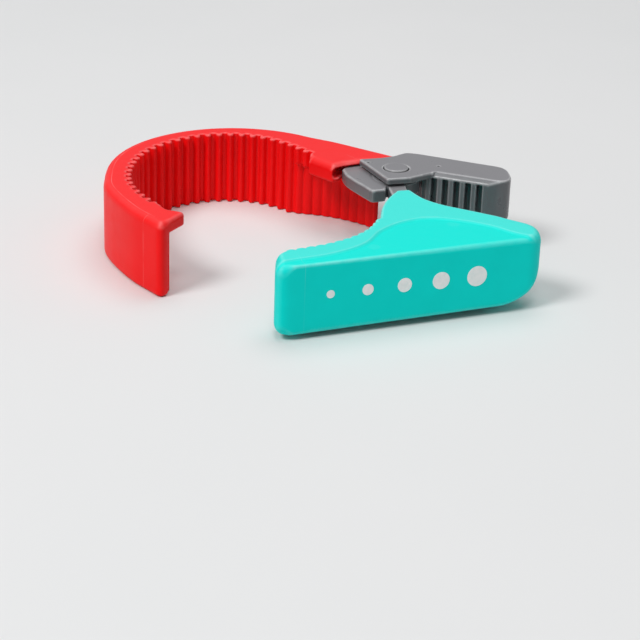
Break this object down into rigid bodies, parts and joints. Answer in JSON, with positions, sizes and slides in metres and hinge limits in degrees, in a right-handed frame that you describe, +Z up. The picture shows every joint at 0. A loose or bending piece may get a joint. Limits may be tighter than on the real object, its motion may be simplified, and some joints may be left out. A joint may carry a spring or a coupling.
{
  "type": "jar opener",
  "caption": "Hinged plastic jar opener: a toothed hook arm and a handle close on a jar lid, and a small ribbed jaw beyond the pivot takes bottle caps.",
  "frame": {"origin": "middle of the tool's footprint, on the table it lies on", "axes": "+Z up out of the table, along the pivot pin; +X from the hook towards the small jaw, along the longest extent; +Y away from the handle's flat front face"},
  "size_m": [0.1396, 0.123, 0.0265],
  "materials": {
    "red_plastic": "moulded, satin, bright red",
    "teal_plastic": "moulded, satin, turquoise",
    "grey_plastic": "glass-filled, satin, mid grey",
    "steel": "zinc plated",
    "acetal": "natural acetal"
  },
  "bodies": {
    "hook": {"hook_arm": "red_plastic", "hook_core": "grey_plastic", "hook_base_cover": "red_plastic", "small_jaw": "grey_plastic", "tail_pin_1": "steel", "tail_pin_2": "steel", "pivot_pin": "grey_plastic", "pivot_washer_upper": "acetal", "pivot_washer_lower": "acetal", "pivot_retainer": "steel"},
    "handle": {"handle_core": "grey_plastic", "knuckle_bush": "acetal", "handle_body": "teal_plastic", "handle_base_cover": "teal_plastic", "core_screw_1": "steel", "core_screw_2": "steel", "cover_screw_1": "steel", "cover_screw_2": "steel", "cover_screw_3": "steel"}
  },
  "joints": [
    {"name": "handle_hinge", "type": "hinge", "parent": "hook", "child": "handle", "pos_m": [0.02578, 0.02195, 0.0208], "axis": [0, 0, 1], "range_deg": [-28, 44]}
  ]
}
